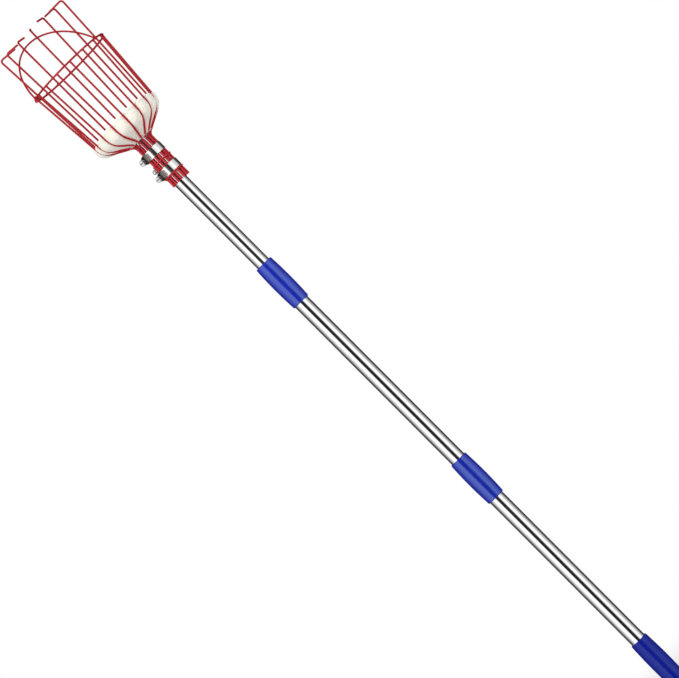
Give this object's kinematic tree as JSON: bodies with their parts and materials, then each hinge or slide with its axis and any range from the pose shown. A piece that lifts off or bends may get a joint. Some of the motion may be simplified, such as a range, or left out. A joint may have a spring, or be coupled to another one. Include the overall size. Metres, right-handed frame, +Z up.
{
  "type": "fruit picker pole with wire basket",
  "caption": "Long hand tool: open wire basket with hooked picking fingers and a foam cup, held by worm-drive clamps on a pole of screw-together steel tubes with plastic collars and a hand grip.",
  "frame": {"origin": "on the pole's axis, inside the hand grip's barrel, 35 mm above its lower end", "axes": "+Z up the pole to the basket, -Y to the basket's open front, +Y to its picking fingers"},
  "size_m": [0.1338, 0.137, 1.3497],
  "materials": {
    "blue_plastic": "smooth, softly glossy",
    "polished_steel": "polished stainless steel",
    "insert_metal": "turned",
    "seal_rubber": "matte",
    "black_plastic": "matte",
    "red_coating": "dipped coating on steel wire",
    "foam": "soft closed-cell foam",
    "clamp_steel": "bright stainless steel",
    "bright_fastener": "bright plated"
  },
  "bodies": {
    "handle_section": {"hand_grip": "blue_plastic", "butt_plug": "blue_plastic", "bottom_tube": "polished_steel", "lower_collar": "blue_plastic", "lower_socket": "insert_metal"},
    "lower_seal_ring": {"lower_seal": "seal_rubber"},
    "middle_section": {"lower_plug": "insert_metal", "middle_tube": "polished_steel", "upper_collar": "blue_plastic", "upper_socket": "insert_metal"},
    "upper_seal_ring": {"upper_seal": "seal_rubber"},
    "basket_section": {"upper_plug": "insert_metal", "top_tube": "polished_steel", "tube_cap": "black_plastic", "back_finger_1": "red_coating", "back_finger_2": "red_coating", "back_finger_3": "red_coating", "back_finger_4": "red_coating", "back_finger_5": "red_coating", "back_finger_6": "red_coating", "back_finger_7": "red_coating", "front_wire_1": "red_coating", "front_wire_2": "red_coating", "front_wire_3": "red_coating", "front_wire_4": "red_coating", "front_wire_5": "red_coating", "front_wire_6": "red_coating", "front_wire_7": "red_coating", "front_wire_8": "red_coating", "front_wire_9": "red_coating", "mouth_ring": "red_coating", "arch_hoop": "red_coating", "upper_tie_ring": "red_coating", "lower_tie_ring": "red_coating", "foam_pad": "foam", "upper_clamp_band": "clamp_steel", "upper_clamp_housing": "clamp_steel", "lower_clamp_band": "clamp_steel", "lower_clamp_housing": "clamp_steel", "cross_bolt": "bright_fastener", "bolt_washer": "bright_fastener", "cap_nut": "bright_fastener"},
    "upper_clamp_worm": {"upper_clamp_screw": "clamp_steel"},
    "lower_clamp_worm": {"lower_clamp_screw": "clamp_steel"}
  },
  "joints": [
    {"name": "lower_joint_rise", "type": "slide", "parent": "handle_section", "child": "lower_seal_ring", "axis": [0, 0, 1], "range_m": [0, 0.015]},
    {"name": "lower_joint_turn", "type": "hinge", "parent": "lower_seal_ring", "child": "middle_section", "pos_m": [0, 0, 0.412], "axis": [0, 0, 1], "range_deg": [0, 1800]},
    {"name": "upper_joint_rise", "type": "slide", "parent": "middle_section", "child": "upper_seal_ring", "axis": [0, 0, 1], "range_m": [0, 0.015]},
    {"name": "upper_joint_turn", "type": "hinge", "parent": "upper_seal_ring", "child": "basket_section", "pos_m": [0, 0, 0.801], "axis": [0, 0, 1], "range_deg": [0, 1800]},
    {"name": "upper_clamp_screw_turn", "type": "hinge", "parent": "basket_section", "child": "upper_clamp_worm", "pos_m": [-0.01799, 0.008, 1.0595], "axis": [-0.3746, -0.9272, 0], "range_deg": [0, 3600]},
    {"name": "lower_clamp_screw_turn", "type": "hinge", "parent": "basket_section", "child": "lower_clamp_worm", "pos_m": [-0.01799, 0.008, 1.027], "axis": [-0.3746, -0.9272, 0], "range_deg": [0, 3600]}
  ],
  "couplings": [
    {"joint": "lower_joint_turn", "follows": "lower_joint_rise", "rad_per_m": 2094.4},
    {"joint": "upper_joint_turn", "follows": "upper_joint_rise", "rad_per_m": 2094.4}
  ]
}
